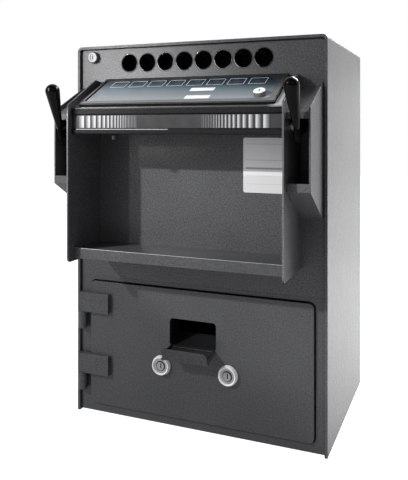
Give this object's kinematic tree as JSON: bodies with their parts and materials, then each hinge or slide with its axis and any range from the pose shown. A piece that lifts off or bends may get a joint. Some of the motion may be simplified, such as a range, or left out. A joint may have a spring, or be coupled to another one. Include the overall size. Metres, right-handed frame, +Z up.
{
  "type": "cash dispensing safe",
  "caption": "Plate steel cash safe with a lockable vault door and outlet scoop below, an open change bay, and a sloped keypad console with loading holes and side release levers above.",
  "frame": {"origin": "middle of the four anchor holes, on the underside of the floor plate", "axes": "+Z up, the front faces -Y, +X to the right of someone facing the front"},
  "size_m": [0.54, 0.5311, 0.78],
  "materials": {
    "charcoal_coat": "finely textured charcoal powder coat",
    "dark_coat": "satin near-black coat",
    "chrome_trim": "bright polished plate",
    "bare_steel": "turned steel",
    "zinc_steel": "dull zinc plate",
    "gloss_black": "glossy black",
    "matte_black": "matte black",
    "black_steel": "satin black steel",
    "black_rubber": "black rubber",
    "blue_overlay": "grey-blue printed film",
    "plate_metal": "plain satin plate",
    "stripe_metal": "satin panel with graded bars",
    "green_board": "circuit board green"
  },
  "bodies": {
    "cabinet": {"shell": "charcoal_coat", "back_plate": "charcoal_coat", "base_plate": "charcoal_coat", "front_head": "charcoal_coat", "front_middle": "charcoal_coat", "front_frame": "charcoal_coat", "vault_roof": "charcoal_coat", "cable_grommet": "black_rubber", "hinge_barrels": "charcoal_coat", "hinge_pins": "bare_steel", "bay_cheek_left": "charcoal_coat", "bay_cheek_right": "charcoal_coat", "bay_shelf": "charcoal_coat", "console_front": "dark_coat", "stripe_panel": "stripe_metal", "console_cover": "charcoal_coat", "thumb_screw": "black_steel", "keypad_frame": "matte_black", "keypad_overlay": "blue_overlay", "keypad_board": "green_board", "key_switch_body": "chrome_trim", "rating_plate": "plate_metal", "wing_left": "charcoal_coat", "wing_right": "charcoal_coat", "lever_bushes": "matte_black", "load_sleeves": "gloss_black", "column_dividers": "zinc_steel", "magazine_ramp": "zinc_steel", "solenoid_rail": "zinc_steel", "column_solenoids": "matte_black", "control_board": "green_board", "board_standoffs": "bare_steel", "power_supply": "zinc_steel", "upper_lock_body": "chrome_trim"},
    "door": {"door_plate": "charcoal_coat", "outlet_scoop": "charcoal_coat", "outlet_chute": "dark_coat", "hinge_straps": "charcoal_coat", "lock_collars": "chrome_trim", "lock_bodies": "chrome_trim", "lock_nuts": "zinc_steel", "bolt_guides": "zinc_steel"},
    "left_lock": {"lock_plug_left": "chrome_trim", "lock_cam_left": "zinc_steel"},
    "right_lock": {"lock_plug_right": "chrome_trim", "lock_cam_right": "zinc_steel"},
    "left_bolt": {"bolt_left": "bare_steel"},
    "right_bolt": {"bolt_right": "bare_steel"},
    "levers": {"lever_shaft": "bare_steel", "shaft_collars": "zinc_steel", "lever_arm_left": "black_steel", "lever_arm_right": "black_steel", "lever_handle_left": "gloss_black", "lever_handle_right": "gloss_black", "lever_fasteners": "black_steel", "release_gates": "zinc_steel", "return_spring": "bare_steel"},
    "key_switch": {"key_switch_plug": "chrome_trim"},
    "upper_lock": {"upper_lock_plug": "chrome_trim", "upper_lock_cam": "zinc_steel"}
  },
  "joints": [
    {"name": "door_swing", "type": "hinge", "parent": "cabinet", "child": "door", "pos_m": [-0.255, -0.195, 0.15], "axis": [0, 0, -1], "range_deg": [0, 110]},
    {"name": "left_lock_turn", "type": "hinge", "parent": "door", "child": "left_lock", "pos_m": [-0.068, -0.181, 0.1245], "axis": [0, -1, 0], "range_deg": [0, 90]},
    {"name": "right_lock_turn", "type": "hinge", "parent": "door", "child": "right_lock", "pos_m": [0.076, -0.181, 0.1245], "axis": [0, 1, 0], "range_deg": [0, 90]},
    {"name": "left_bolt_slide", "type": "slide", "parent": "door", "child": "left_bolt", "axis": [1, 0, 0], "range_m": [0, 0.02828]},
    {"name": "right_bolt_slide", "type": "slide", "parent": "door", "child": "right_bolt", "axis": [1, 0, 0], "range_m": [0, 0.02828]},
    {"name": "lever_turn", "type": "hinge", "parent": "cabinet", "child": "levers", "pos_m": [0, -0.253, 0.612], "axis": [1, 0, 0], "range_deg": [0, 45], "stiffness_Nm_per_rad": 1, "springref_deg": -34.38},
    {"name": "key_switch_turn", "type": "hinge", "parent": "cabinet", "child": "key_switch", "pos_m": [0.167, -0.271, 0.65913], "axis": [0, -0.4664, 0.8846], "range_deg": [0, 90]},
    {"name": "upper_lock_turn", "type": "hinge", "parent": "cabinet", "child": "upper_lock", "pos_m": [-0.232, -0.181, 0.757], "axis": [0, 1, 0], "range_deg": [0, 90]}
  ],
  "couplings": [
    {"joint": "left_lock_turn", "follows": "left_bolt_slide", "rad_per_m": 55.536},
    {"joint": "right_lock_turn", "follows": "right_bolt_slide", "rad_per_m": 55.536}
  ]
}
